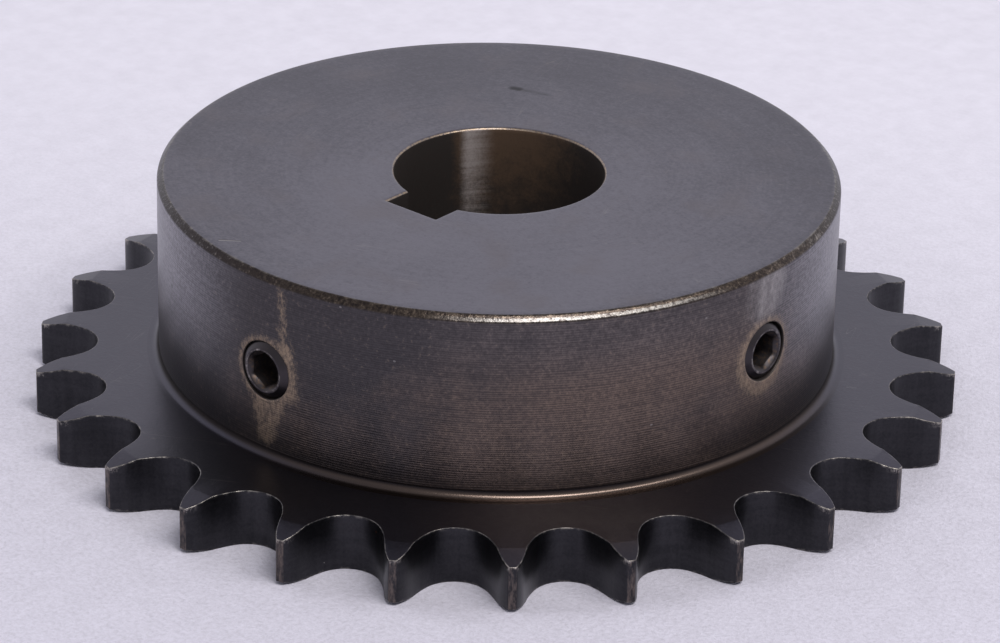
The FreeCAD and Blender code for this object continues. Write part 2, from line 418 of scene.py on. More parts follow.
# Rows of the wall's mesh, spaced so that a block of rows stands evenly about each tapped hole, in mm
WALL_ROW = (SIDE_HOLE_HEIGHT - KEYWAY_HOLE_HEIGHT) / 2
HOLE_COLUMNS, HOLE_ROWS = 18, 14
WALL_FIRST = KEYWAY_HOLE_HEIGHT - HOLE_ROWS / 2 * WALL_ROW
WALL_BELOW = int((WALL_FIRST - PLATE_THICKNESS - HUB_FOOT_FILLET - 0.5) / WALL_ROW)
WALL_ABOVE = int((HUB_LENGTH - HUB_RIM_BREAK - 0.5 - WALL_FIRST) / WALL_ROW)
WALL_HEIGHTS = WALL_FIRST + WALL_ROW * np.arange(-WALL_BELOW, WALL_ABOVE + 1)

# The same for the bore
BORE_ROW = (SIDE_HOLE_HEIGHT - KEYWAY_HOLE_HEIGHT) / 3
EXIT_ROWS = 18
EXIT_COLUMNS = HOLE_COLUMNS + HOLE_ROWS - EXIT_ROWS
BORE_FIRST = KEYWAY_HOLE_HEIGHT - EXIT_ROWS / 2 * BORE_ROW
BORE_HEIGHTS = BORE_FIRST + BORE_ROW * np.arange(EXIT_ROWS + 4)


def block(rows, columns, low_row, left_column, count_rows, count_columns):
    """A mask of the quads in a block of a grid whose columns close on themselves."""
    mask = np.zeros((rows - 1, columns), bool)
    chosen = (left_column + np.arange(count_columns)) % columns
    mask[np.ix_(np.arange(low_row, low_row + count_rows), chosen)] = True
    return mask


def block_border(grid, low_row, left_column, count_rows, count_columns):
    """The corners round a block of a grid whose rows run upwards, anticlockwise as seen from outside."""
    columns = grid.shape[1]
    right = (left_column + np.arange(count_columns + 1)) % columns
    up = low_row + np.arange(count_rows + 1)
    return np.concatenate([
        grid[low_row, right[:-1]],
        grid[up[:-1], right[-1]],
        grid[low_row + count_rows, right[::-1][:-1]],
        grid[up[::-1][:-1], right[0]],
    ])


# Rows of the hub's and the bore's profiles that keep the face's finish
HUB_FACE_ROWS = 3
MOUTH_ROWS = 3


def hub(surface):
    """The hub's face, rim, wall and foot as rings of one profile, with a block left open round each hole."""
    profile = np.array(hub_profile())
    ring = circle(1.0, HUB_COLUMNS)
    points = np.empty((len(profile), HUB_COLUMNS, 3))
    points[..., :2] = profile[:, 0][:, None, None] * ring[None]
    points[..., 2] = profile[:, 1][:, None]
    wear = profile[:, 2][:, None]
    surface.grid(points[:HUB_FACE_ROWS + 1], FACE, wear[:HUB_FACE_ROWS + 1], flip=True)

    upward = points[HUB_FACE_ROWS:][::-1]
    heights = upward[:, 0, 2]
    radii = np.hypot(upward[:, 0, 0], upward[:, 0, 1])
    skip = np.zeros((len(upward) - 1, HUB_COLUMNS), bool)
    borders = []
    for turn, height in ((0.0, KEYWAY_HOLE_HEIGHT), (math.pi / 2, SIDE_HOLE_HEIGHT)):
        low = height - HOLE_ROWS / 2 * WALL_ROW
        row = int(np.argmin(np.abs(heights - low) + (radii > HUB_RADIUS + 0.001) * 100))
        left = round(turn / (2 * math.pi) * HUB_COLUMNS) - HOLE_COLUMNS // 2
        skip |= block(len(upward), HUB_COLUMNS, row, left, HOLE_ROWS, HOLE_COLUMNS)
        borders.append(block_border(upward, row, left, HOLE_ROWS, HOLE_COLUMNS))
    surface.grid(upward, WALL, wear[HUB_FACE_ROWS:][::-1], skip=skip)
    return points[0], points[-1], borders


def rounded_corner(before, corner, after, size):
    """Three points for a corner softened by a small curve: on its first side, its middle and its second."""
    start = corner + size * (before - corner) / np.linalg.norm(before - corner)
    end = corner + size * (after - corner) / np.linalg.norm(after - corner)
    return np.array([start, (start + 2 * corner + end) / 4, end])


# Points down each side of the keyway, how far they stay from its corners, and how far round the bore's arc
# the second side of the keyway's outer corners runs, in mm
KEYWAY_SIDE_STEPS = 5
KEYWAY_CORNER_GAP = 0.6
CORNER_RUN = 0.4


def bore_contour(grow):
    """The bore with its keyway, seen from above, moved outwards by grow.

    An arc with the keyway's two sides and its floor, anticlockwise from the middle of the floor. The four
    corners are softened.
    """
    radius = BORE_RADIUS + grow
    half = KEYWAY_HALF_WIDTH + grow
    floor = KEYWAY_FLOOR + grow
    mouth = math.sqrt(radius**2 - half**2)
    floor_right = np.array([half, -floor])
    mouth_right = np.array([half, -mouth])
    corner_angle = math.atan2(-mouth, half)
    step = CORNER_RUN / radius
    past_mouth = polar(radius, corner_angle + step)

    half_floor = EXIT_COLUMNS // 2
    floor_x = (half - SMALL_EDGE_ROUND) * np.arange(half_floor) / half_floor
    floor_half = np.column_stack([floor_x, np.full(half_floor, -floor)])
    low_corner = rounded_corner(np.array([0, -floor]), floor_right, mouth_right, SMALL_EDGE_ROUND)
    side_y = np.linspace(-floor + KEYWAY_CORNER_GAP, -mouth - KEYWAY_CORNER_GAP, KEYWAY_SIDE_STEPS)
    side = np.column_stack([np.full(KEYWAY_SIDE_STEPS, half), side_y])
    high_corner = rounded_corner(floor_right, mouth_right, past_mouth, SMALL_EDGE_ROUND)
    right_half = np.vstack([floor_half, low_corner, side, high_corner])

    arc_count = BORE_COLUMNS - 2 * len(right_half) + 1
    start = math.atan2(high_corner[-1, 1], high_corner[-1, 0])
    arc_angle = np.linspace(start, math.pi - start, arc_count + 2)[1:-1]
    left_half = (right_half * [-1, 1])[::-1][:-1]
    return np.vstack([right_half, polar(radius, arc_angle), left_half])


# Heights of the bore's rows below and above the blocks round the tapped holes, in mm
BORE_ROWS_BELOW = (4.0, 8.0, 12.0)
BORE_ROWS_ABOVE = (33.0,)


def bore(surface):
    """The bore and keyway: both mouths with their broken edges, and the wall with a block left open round
    the inner end of each tapped hole."""
    flat = BORE_EDGE_BREAK
    mouth = [
        (flat + 0.5, 0.0, 0.0),
        (flat + 0.08, 0.0, 0.5),
        (flat - 0.05, 0.03, 0.7),
        (0.04, flat - 0.05, 0.6),
        (0.0, flat + 0.08, 0.3),
        (0.0, flat + 0.6, 0.0),
    ]
    rows = [*mouth, *((0.0, height, 0.0) for height in (*BORE_ROWS_BELOW, *BORE_HEIGHTS, *BORE_ROWS_ABOVE))]
    rows += [(grow, HUB_LENGTH - height, worn) for grow, height, worn in mouth[::-1]]
    points = np.stack([level(bore_contour(grow), height) for grow, height, _ in rows])
    wear = np.array([row[2] for row in rows])[:, None]
    heights = points[:, 0, 2]
    columns = points.shape[1]
    skip = np.zeros((len(points) - 1, columns), bool)
    borders = []
    wall = points[len(mouth) - 1]
    side_middle = int(np.argmin(np.abs(np.arctan2(wall[:, 1], wall[:, 0]))))
    for middle, height in ((0, KEYWAY_HOLE_HEIGHT), (side_middle, SIDE_HOLE_HEIGHT)):
        low = height - EXIT_ROWS / 2 * BORE_ROW
        row = int(np.argmin(np.abs(heights - low)))
        left = middle - EXIT_COLUMNS // 2
        skip |= block(len(points), columns, row, left, EXIT_ROWS, EXIT_COLUMNS)
        borders.append(block_border(points, row, left, EXIT_ROWS, EXIT_COLUMNS))
    edge = MOUTH_ROWS
    surface.grid(points[:edge + 1], FACE, wear[:edge + 1], flip=True)
    surface.grid(points[edge:-edge], BORE, wear[edge:-edge], skip=skip[edge:-edge], flip=True)
    surface.grid(points[-edge - 1:], FACE, wear[-edge - 1:], flip=True)
    low_ring = level(circle(BORE_RING, BORE_COLUMNS), 0.0)
    high_ring = level(circle(BORE_RING, BORE_COLUMNS), HUB_LENGTH)
    surface.bridge(high_ring, points[-1], FACE)
    surface.bridge(low_ring, points[0], FACE, flip=True)
    return low_ring, high_ring, borders


def thread_radius(middle, depth, turn, strength):
    """A rounded 60 degree thread: the radius swings about its middle once for each pitch of depth, and the
    swing's start moves on by one pitch for each turn."""
    phase = 2 * math.pi * depth / THREAD_PITCH - turn
    swing = np.sin(phase) + np.sin(3 * phase) / 9
    return middle - THREAD_HALF_HEIGHT * strength * swing


def along_hole(side, across, up, out):
    """Points from a hole's own directions: across to the right seen from outside, up, and out from the
    axis. side is 0 for the keyway's hole, which points along -Y, and 1 for the one along +X."""
    if side == 0:
        return np.stack([across, -out, up], axis=-1)
    return np.stack([out, across, up], axis=-1)


TUBE_ROWS_EACH_PITCH = 5
# How far the thread's tube stays from the holes' ends, and where the thread's run-out starts, in mm
TUBE_END_GAP = 0.08
RUN_OUT_START = 0.25
# Rings of the patch round a hole's mouth: the distance from the hole, in mm, and the share of the way there
MOUTH_RINGS = ((0.5, 0.45), (0.4, 1.0), (0.1, 1.0))
# The same for the inner end, in the keyway's floor and in the bore
EXIT_RINGS = ((0.08, 1.0),), ((0.3, 1.0),)


def tapped_hole(surface, side, height, outer_border, inner_border):
    """A patch from a square block of the wall to the hole's round mouth, the thread down to its inner end,
    and the same patch there.

    The patch's rings go from the block to the circle, on the wall's own cylinder. Its circle has one point
    for each corner of the block, and both ends use the same angles.
    """
    count = len(outer_border)
    turn = -math.pi / 2 + 2 * math.pi * (np.arange(count) - HOLE_COLUMNS / 2) / count
    shift = (HOLE_COLUMNS - EXIT_COLUMNS) // 2
    inner_border = np.roll(inner_border, shift, axis=0)
    cosine, sine = np.cos(turn), np.sin(turn)

    def wall_out(across):
        return np.sqrt(HUB_RADIUS**2 - across**2)

    def exit_out(across):
        if side == 0:
            return np.full_like(across, KEYWAY_FLOOR)
        return np.sqrt(BORE_RADIUS**2 - across**2)

    def patch(border, out_of, steps):
        across = border[:, side]
        up = border[:, 2] - height
        rings = [border]
        for gap, share in steps:
            radius = HOLE_RADIUS + gap
            ring_across = across * (1 - share) + radius * cosine * share
            ring_up = up * (1 - share) + radius * sine * share
            rings.append(along_hole(side, ring_across, ring_up + height, out_of(ring_across)))
        return rings

    outer = patch(outer_border, wall_out, MOUTH_RINGS)
    inner = patch(inner_border, exit_out, EXIT_RINGS[side])
    start = wall_out(HOLE_RADIUS * cosine)
    end = exit_out(HOLE_RADIUS * cosine)
    rows = int(np.mean(start - end) / THREAD_PITCH * TUBE_ROWS_EACH_PITCH)
    tube = []
    for share in np.linspace(0, 1, rows):
        out = (start - TUBE_END_GAP) * (1 - share) + (end + TUBE_END_GAP) * share
        begun = np.clip((start - out - RUN_OUT_START) / THREAD_RUN_OUT, 0, 1)
        left = np.clip((out - end) / THREAD_RUN_OUT, 0, 1)
        radius = thread_radius(HOLE_RADIUS, out, turn, begun * left)
        tube.append(along_hole(side, radius * cosine, height + radius * sine, out))
    surface.grid(np.stack(outer), WALL)
    wear = np.zeros((len(tube) + 2, 1))
    wear[:2] = 0.5
    surface.grid(np.stack([outer[-1], *tube, inner[-1]]), BORE, wear)
    surface.grid(np.stack(inner[::-1]), BORE)


def sprocket(finishes):
    """The toothed plate, hub and bore joined into one closed surface."""
    surface = Surface()
    plate_top, plate_bottom = toothed_plate(surface)
    hub_top, hub_foot, wall_borders = hub(surface)
    low_ring, high_ring, bore_borders = bore(surface)
    surface.bridge(plate_top, hub_foot, FACE)
    surface.bridge(hub_top, high_ring, FACE)
    surface.bridge(plate_bottom, low_ring, FACE, flip=True)
    tapped_hole(surface, 0, KEYWAY_HOLE_HEIGHT, wall_borders[0], bore_borders[0])
    tapped_hole(surface, 1, SIDE_HOLE_HEIGHT, wall_borders[1], bore_borders[1])
    return surface.piece("blackened_sprocket", finishes)


SCREW_COLUMNS = 72
SCREW_ROWS_EACH_PITCH = 6
OUTSIDE, SOCKET = range(2)
SOCKET_ROWS = 4
CUP_RING = 0.8


def screw_profile():
    """(radius, distance from the cup's rim, thread strength, hexagon share, wear) from cup to socket."""
    top = SCREW_LENGTH
    rows = [
        (CUP_RING, CUP_DEPTH * (1 - CUP_RING / CUP_RADIUS), 0, 0, 0.0),
        (CUP_RADIUS - 0.08, 0.1, 0, 0, 0.5),
        (CUP_RADIUS, 0.0, 0, 0, 1.0),
        (CUP_RADIUS + 0.1, 0.06, 0, 0, 0.6),
    ]
    thread_start = SCREW_RADIUS - CUP_RADIUS - 0.2
    thread_end = top - HEAD_CHAMFER_DEPTH
    count = int((thread_end - thread_start) / THREAD_PITCH * SCREW_ROWS_EACH_PITCH)
    for place in np.linspace(thread_start, thread_end, count):
        near = min(place - thread_start, thread_end - place) / THREAD_RUN_OUT
        base = min(SCREW_RADIUS, CUP_RADIUS + place)
        rows.append((base, place, min(near * 1.5, 1.0), 0, 0.25))
    outer = SCREW_RADIUS - HEAD_CHAMFER_WIDTH
    rows += [
        (SCREW_RADIUS - 0.08, thread_end + 0.06, 0, 0, 0.2),
        (outer + 0.1, top - 0.08, 0, 0, 0.1),
        (outer - 0.01, top - 0.015, 0, 0, 0.6),
        (outer - 0.08, top, 0, 0, 0.8),
        (SOCKET_MOUTH_RADIUS + 0.08, top, 0, 0, 0.8),
        (SOCKET_MOUTH_RADIUS, top - 0.03, 0, 0, 0.8),
        (SOCKET_MOUTH_RADIUS - 0.12, top - 0.14, 0, 0, 0.1),
        (2.55, top - 0.6, 0, 0.7, 0.0),
    ]
    rows += [(HEX_FLAT_RADIUS, top - depth, 0, 1, 0.0) for depth in (0.75, 3.0, HEX_DEPTH)]
    return rows


def hexagon_radius(turn):
    """A hexagon's radius at each angle, its corners at multiples of 60 degrees and a little softened."""
    from_middle = (turn + math.pi / 6) % (math.pi / 3) - math.pi / 6
    from_flat = math.pi / 6 - np.abs(from_middle)
    return np.minimum(HEX_FLAT_RADIUS / np.cos(from_flat), HEX_CORNER_RADIUS)


def set_screw(name, side, height, head_out, finishes):
    """A set screw as rows of one profile: cup point, thread, chamfered head and the hexagon socket, one of
    whose corners is upmost."""
    surface = Surface()
    turn = 2 * math.pi * np.arange(SCREW_COLUMNS) / SCREW_COLUMNS
    hexagon = hexagon_radius(turn - math.pi / 2)
    cosine, sine = np.cos(turn), np.sin(turn)
    tip_out = head_out - SCREW_LENGTH
    points = []
    wear = []
    for radius, place, strength, hex_share, worn in screw_profile():
        out = np.full(SCREW_COLUMNS, tip_out + place)
        ring = thread_radius(radius, out, turn, strength)
        ring = ring * (1 - hex_share) + hexagon * hex_share
        points.append(along_hole(side, ring * cosine, height + ring * sine, out))
        wear.append([worn])
    points = np.stack(points)
    surface.grid(points[:-SOCKET_ROWS], OUTSIDE, wear[:-SOCKET_ROWS])
    surface.grid(points[-SOCKET_ROWS - 1:], SOCKET, wear[-SOCKET_ROWS - 1:])
    drill_point_out = head_out - HEX_DEPTH - DRILL_POINT_DEPTH
    surface.fan(points[0], along_hole(side, 0.0, height, tip_out + CUP_DEPTH), OUTSIDE, flip=True)
    surface.fan(points[-1], along_hole(side, 0.0, height, drill_point_out), SOCKET)
    return surface.piece(name, finishes)


def math_node(operation):
    """A method of Value that adds a Math node with the given operation."""
    return lambda value, *others: value.math(operation, *others)


class Value:
    """A number in a node tree. Arithmetic on it adds Math nodes."""

    def __init__(self, nodes, socket):
        self.nodes = nodes
        self.socket = socket

    def math(self, operation, *others, clamp=False):
        settings = {"operation": operation, "use_clamp": clamp}
        return self.nodes.node("ShaderNodeMath", settings, dict(enumerate([self, *others])))

    __add__ = math_node("ADD")
    __radd__ = math_node("ADD")
    __mul__ = math_node("MULTIPLY")
    __rmul__ = math_node("MULTIPLY")
    __sub__ = math_node("SUBTRACT")
    __truediv__ = math_node("DIVIDE")
    __abs__ = math_node("ABSOLUTE")
    most = math_node("MAXIMUM")
    sine = math_node("SINE")
    root = math_node("SQRT")

    def __rsub__(self, other):
        return self.nodes.node("ShaderNodeMath", {"operation": "SUBTRACT"}, {0: other, 1: self})

    def step(self, low, high):
        """0 below low and 1 above high, smoothly. With low above high it falls instead."""
        inputs = {"Value": self, "From Min": min(low, high), "From Max": max(low, high)}
        inputs["To Min"], inputs["To Max"] = (0.0, 1.0) if low < high else (1.0, 0.0)
        settings = {"interpolation_type": "SMOOTHSTEP"}
        return self.nodes.node("ShaderNodeMapRange", settings, inputs)


class Nodes:
    """A node tree, added to through one method."""

    def __init__(self, tree):
        self.tree = tree
        tree.nodes.clear()

    def node(self, kind, settings, inputs, *outputs):
        """Adds a node: its settings first, then its inputs' values or links. Returns the outputs that are
        asked for, or the first one."""
        node = self.tree.nodes.new(kind)
        for name, value in settings.items():
            setattr(node, name, value)
        for name, value in inputs.items():
            if isinstance(value, Value):
                self.tree.links.new(value.socket, node.inputs[name])
            else:
                node.inputs[name].default_value = value
        if not node.outputs:
            return None
        found = [Value(self, node.outputs[name]) for name in outputs or (0,)]
        return found[0] if len(found) == 1 else found

    def vector_math(self, operation, vector, other=None, scale=None):
        inputs = {0: vector, 1: other, "Scale": scale}
        inputs = {name: value for name, value in inputs.items() if value is not None}
        output = "Value" if operation in ("DOT_PRODUCT", "DISTANCE") else "Vector"
        return self.node("ShaderNodeVectorMath", {"operation": operation}, inputs, output)

    def vector(self, x, y, z):
        return self.node("ShaderNodeCombineXYZ", {}, {"X": x, "Y": y, "Z": z})

    def noise(self, vector, scale, detail=2.0, roughness=0.5):
        inputs = {"Vector": vector, "Scale": scale, "Detail": detail, "Roughness": roughness}
        return self.node("ShaderNodeTexNoise", {}, inputs, "Fac")

    def mix(self, share, first, second):
        """A colour between two colours."""
        inputs = {"Factor": share, 6: first, 7: second}
        return self.node("ShaderNodeMix", {"data_type": "RGBA"}, inputs, 2)


class Finish(Nodes):
    """A material's nodes, with the object's coordinates in mm as x, y and z, and the colour so far."""

    def __init__(self, name):
        self.material = bpy.data.materials.new(name)
        self.material.use_nodes = True
        super().__init__(self.material.node_tree)
        metres = self.node("ShaderNodeTexCoord", {}, {}, "Object")
        self.place = self.vector_math("SCALE", metres, scale=1 / MM)
        axes = self.node("ShaderNodeSeparateXYZ", {}, {"Vector": self.place}, "X", "Y", "Z")
        self.x, self.y, self.z = axes
        self.radius = (self.x * self.x + self.y * self.y).root()
        self.wear = self.node("ShaderNodeAttribute", {"attribute_name": "wear"}, {}, "Fac")
        self.colour = None

    def facing(self, azimuth):
        """How far a place lies from the axis towards an azimuth, in mm."""
        return self.x * math.sin(azimuth) - self.y * math.cos(azimuth)

    def stretched(self, along_x, along_y, along_z):
        """The place in mm, scaled along each axis."""
        return self.vector_math("MULTIPLY", self.place, (along_x, along_y, along_z))

    def specks(self, spacing, size, share):
        """Small round spots about size in radius, in a share of the cells of the given spacing, in mm."""
        inputs = {"Vector": self.place, "Scale": 1 / spacing}
        distance, cell = self.node("ShaderNodeTexVoronoi", {}, inputs, "Distance", "Color")
        chance = self.node("ShaderNodeSeparateColor", {}, {"Color": cell}, "Red")
        return (distance * spacing).step(size, size * 0.5) * chance.step(1 - share, 1.001 - share)

    def scratches(self, angle, spacing, width):
        """Fine lines that run at an angle in the plane of the faces: where a noise drawn out along them
        crosses its middle."""
        cosine, sine = math.cos(angle), math.sin(angle)
        along = self.x * cosine + self.y * sine
        across = self.y * cosine - self.x * sine
        field = self.noise(self.vector(along * 0.035, across / spacing, self.z * 0.1), 1.0, 1.0)
        shown = self.noise(self.vector(along * 0.09, across * 0.2, self.z * 0.1), 1.0)
        return abs(field - 0.5).step(width, 0.0) * shown.step(0.52, 0.62)

    def stroke(self, start, end, start_width, end_width, soft):
        """1 within a stroke from one place to another, in mm, whose half width changes on the way."""
        start, end = np.array(start, float), np.array(end, float)
        course = end - start
        offset = self.vector_math("SUBTRACT", self.place, start)
        along = self.vector_math("DOT_PRODUCT", offset, course)
        share = along.math("DIVIDE", float(course @ course), clamp=True)
        nearest = self.vector_math("SCALE", course, scale=share)
        distance = self.vector_math("DISTANCE", offset, nearest)
        return (share * (end_width - start_width) + start_width - distance).step(-soft, soft)

    def strokes(self, marks):
        """1 within any of the given strokes."""
        found = self.stroke(*marks[0])
        for mark in marks[1:]:
            found = found.most(self.stroke(*mark))
        return found

    def coat(self, share, colour):
        """Lays a colour over the colour so far."""
        self.colour = self.mix(share, self.colour, colour)

    def rub(self, mask, bright, scale, low, high):
        """Lays a bright colour where a mask is high, broken up by a noise."""
        broken = self.noise(self.place, scale, 3.0, 0.7)
        self.coat((mask * (broken * 2.6 - 0.5)).step(low, high), bright)

    def finish(self, roughness, bump_height, bump_distance, metallic=1.0, strength=1.0):
        """A Principled surface whose normal follows a height given in parts of bump_distance, in mm."""
        inputs = {"Height": bump_height, "Distance": bump_distance * MM, "Strength": strength}
        normal = self.node("ShaderNodeBump", {}, inputs, "Normal")
        inputs = {"Base Color": self.colour, "Roughness": roughness, "Metallic": metallic, "Normal": normal}
        surface = self.node("ShaderNodeBsdfPrincipled", {}, inputs)
        self.node("ShaderNodeOutputMaterial", {}, {"Surface": surface})
        return self.material


def tone(red, green, blue):
    """A colour for a socket, in linear light."""
    return (red, green, blue, 1.0)


def on_face(x, y):
    """A place on the hub's face."""
    return (x, y, HUB_LENGTH)


def on_plate(x, y):
    """A place on the plate's upper face."""
    return (x, y, PLATE_THICKNESS)


def on_wall(azimuth, height):
    """A place on the hub's wall: azimuth in degrees from the keyway's side towards the side screw."""
    turn = math.radians(azimuth)
    return (HUB_RADIUS * math.sin(turn), -HUB_RADIUS * math.cos(turn), height)


def beside_hole(side, across, height):
    """A place on the hub's wall near a tapped hole, across to the right of its axis."""
    out = math.sqrt(HUB_RADIUS**2 - across**2)
    return (across, -out, height) if side == 0 else (out, across, height)


# Finishes, in linear light
OXIDE_FACE = tone(0.074, 0.070, 0.089)
# The faces' lighter tone, which also carries the painted sheen towards the front of the hub's face
FACE_LIGHT_TONE_AND_SHEEN = tone(0.152, 0.145, 0.175)
OXIDE_FACE_BROWN = tone(0.124, 0.108, 0.120)
OXIDE_PLATE = tone(0.066, 0.063, 0.083)
# Painted reflection on the plate in front of the hub
PLATE_PAINTED_REFLECTION = tone(0.190, 0.188, 0.206)
OXIDE_WALL = tone(0.080, 0.074, 0.078)
# The wall's darker tone: for its turning lines, and as painted shade low down
WALL_DARK_LINES_AND_SHADE = tone(0.044, 0.040, 0.043)
# Painted sheen on the wall's sides
WALL_PAINTED_SHEEN = tone(0.330, 0.325, 0.355)
# Bronze and grey tints of the wall's oxide, made lighter as painted sheen low on the front-right
BRONZE_TINT_AND_SHEEN = tone(0.192, 0.146, 0.122)
GREY_TINT_AND_SHEEN = tone(0.155, 0.142, 0.146)
OXIDE_RIM = tone(0.034, 0.028, 0.028)
OXIDE_FOOT = tone(0.031, 0.026, 0.027)
# The foot fillet's painted highlight
FOOT_PAINTED_HIGHLIGHT = tone(0.100, 0.077, 0.067)
OXIDE_TOOTH = tone(0.031, 0.031, 0.035)
OXIDE_TOOTH_LIGHT = tone(0.050, 0.049, 0.055)
OXIDE_LAND = tone(0.150, 0.124, 0.112)
OXIDE_BORE = tone(0.045, 0.038, 0.036)
# Lighter brown: specks on the screws, blotches in the bore, and the bore's painted light
BROWN_SPECKS_AND_PAINTED_GLOW = tone(0.135, 0.088, 0.060)
# The bore's painted highlight
BORE_PAINTED_HIGHLIGHT = tone(0.56, 0.505, 0.50)
# The rim's painted highlight
RIM_PAINTED_HIGHLIGHT = tone(0.225, 0.218, 0.214)
BARE_STEEL = tone(0.42, 0.39, 0.36)
WORN_TAN = tone(0.35, 0.268, 0.192)
DUST = tone(0.50, 0.48, 0.46)
RUST = tone(0.30, 0.10, 0.03)
SCREW_OXIDE = tone(0.054, 0.048, 0.052)
SOCKET_BROWN = tone(0.105, 0.074, 0.057)

# Marks and painted light on the faces as strokes: both ends, the half width at each, and how softly they
# end, in mm
DARK_DOT = (on_face(-19.1, 25.45), on_face(-18.2, 25.7), 0.6, 0.7, 0.5)
DARK_SMEAR = (on_face(-18.2, 25.7), on_face(-13.6, 27.0), 0.5, 0.3, 0.6)
# Painted sheen: the hub's face paler towards the front and darker towards the back
FACE_SHEEN_PATCH = (on_face(16.0, -20.0), on_face(20.0, -24.0), 42.0, 42.0, 34.0)
FACE_NICK = (on_face(-13.0, -47.0), on_face(-10.6, -45.2), 0.16, 0.1, 0.1)
# Painted reflection: a paler patch on the plate below the wall's bronze side
PLATE_REFLECTION_PATCH = (on_plate(42.0, -39.0), on_plate(51.0, -31.0), 5.0, 5.0, 9.0)
# Painted reflection: the plate darker in front of the hub and to its left
PLATE_DARK_REFLECTION_PATCH = (on_plate(-6.0, -62.0), on_plate(8.0, -58.0), 8.0, 8.0, 10.0)
PLATE_RUST = (on_plate(7.1, -65.3), on_plate(7.5, -65.1), 0.3, 0.2, 0.15)

# The ends of the dent in the hub's rim
RIM_DENT = ((49.9, 12.4, HUB_LENGTH - 0.3), (48.9, 15.7, HUB_LENGTH - 0.3))

# Marks on the hub's wall, in the same way, with painted sheen among them
# The bronze patch carries painted sheen; the grey patch takes tint and sheen away high in front
BRONZE_SHEEN_PATCH = (on_wall(61, 10), on_wall(61, 25), 4.0, 3.0, 7.0)
GREY_PATCH = (on_wall(10, 34), on_wall(44, 34), 2.0, 2.0, 6.0)
BARE_PATCHES = (
    (beside_hole(0, 0.2, 22.0), beside_hole(0, 0.0, 22.4), 5.6, 5.6, 1.3),
    (beside_hole(0, 3.6, 26.2), beside_hole(0, 4.6, 20.0), 2.2, 2.0, 1.6),
    (beside_hole(0, 0.6, 19.0), beside_hole(0, 0.3, 12.4), 4.2, 2.2, 1.5),
    (beside_hole(0, 3.6, 27.0), beside_hole(0, 3.2, 36.3), 1.1, 0.7, 1.7),
    (beside_hole(1, -0.6, 23.4), beside_hole(1, -0.4, 24.0), 6.1, 6.1, 1.4),
)
PALE_PATCH = (beside_hole(1, -0.6, 31.5), beside_hole(1, 0.3, 35.0), 3.4, 4.2, 2.6)
PALE_STREAKS = [
    (beside_hole(1, across, 31.0), beside_hole(1, across + 0.3, 35.8), 0.5, 0.8, 1.6)
    for across in (-4.6, -1.4, 1.2, 3.4)
]
WALL_DOTS = [
    (on_wall(azimuth, height), on_wall(azimuth + 0.15, height), 0.12, 0.12, 0.08)
    for azimuth, height in ((66.25, 18.4), (75.9, 33.4), (24.1, 29.2), (14.8, 36.1))
]
WALL_PIT = ((-24.8, -45.0, 25.4), (-24.8, -45.0, 25.7), 0.22, 0.22, 0.08)

# Directions from the axis, as azimuths from -Y towards +X: the side that lies in front, facing the camera,
# the middle of the bronze tint with its painted sheen on the hub's wall, the middle of the painted
# highlights on the hub's rim and foot, the wall's side about a quarter turn round, where its sheen and shade
# are painted, and the painted highlight in the bore
FRONT_AZIMUTH = math.radians(40.3)
BRONZE_SHEEN_AZIMUTH = math.radians(62.67)
HUB_HIGHLIGHT_AZIMUTH = math.radians(55.31)
SIDE_AZIMUTH = math.radians(130.78)
BORE_HIGHLIGHT_AZIMUTH = math.radians(232.5)

# How far the turning tool moved on in each turn, in mm
TURNING_FEED = 0.36


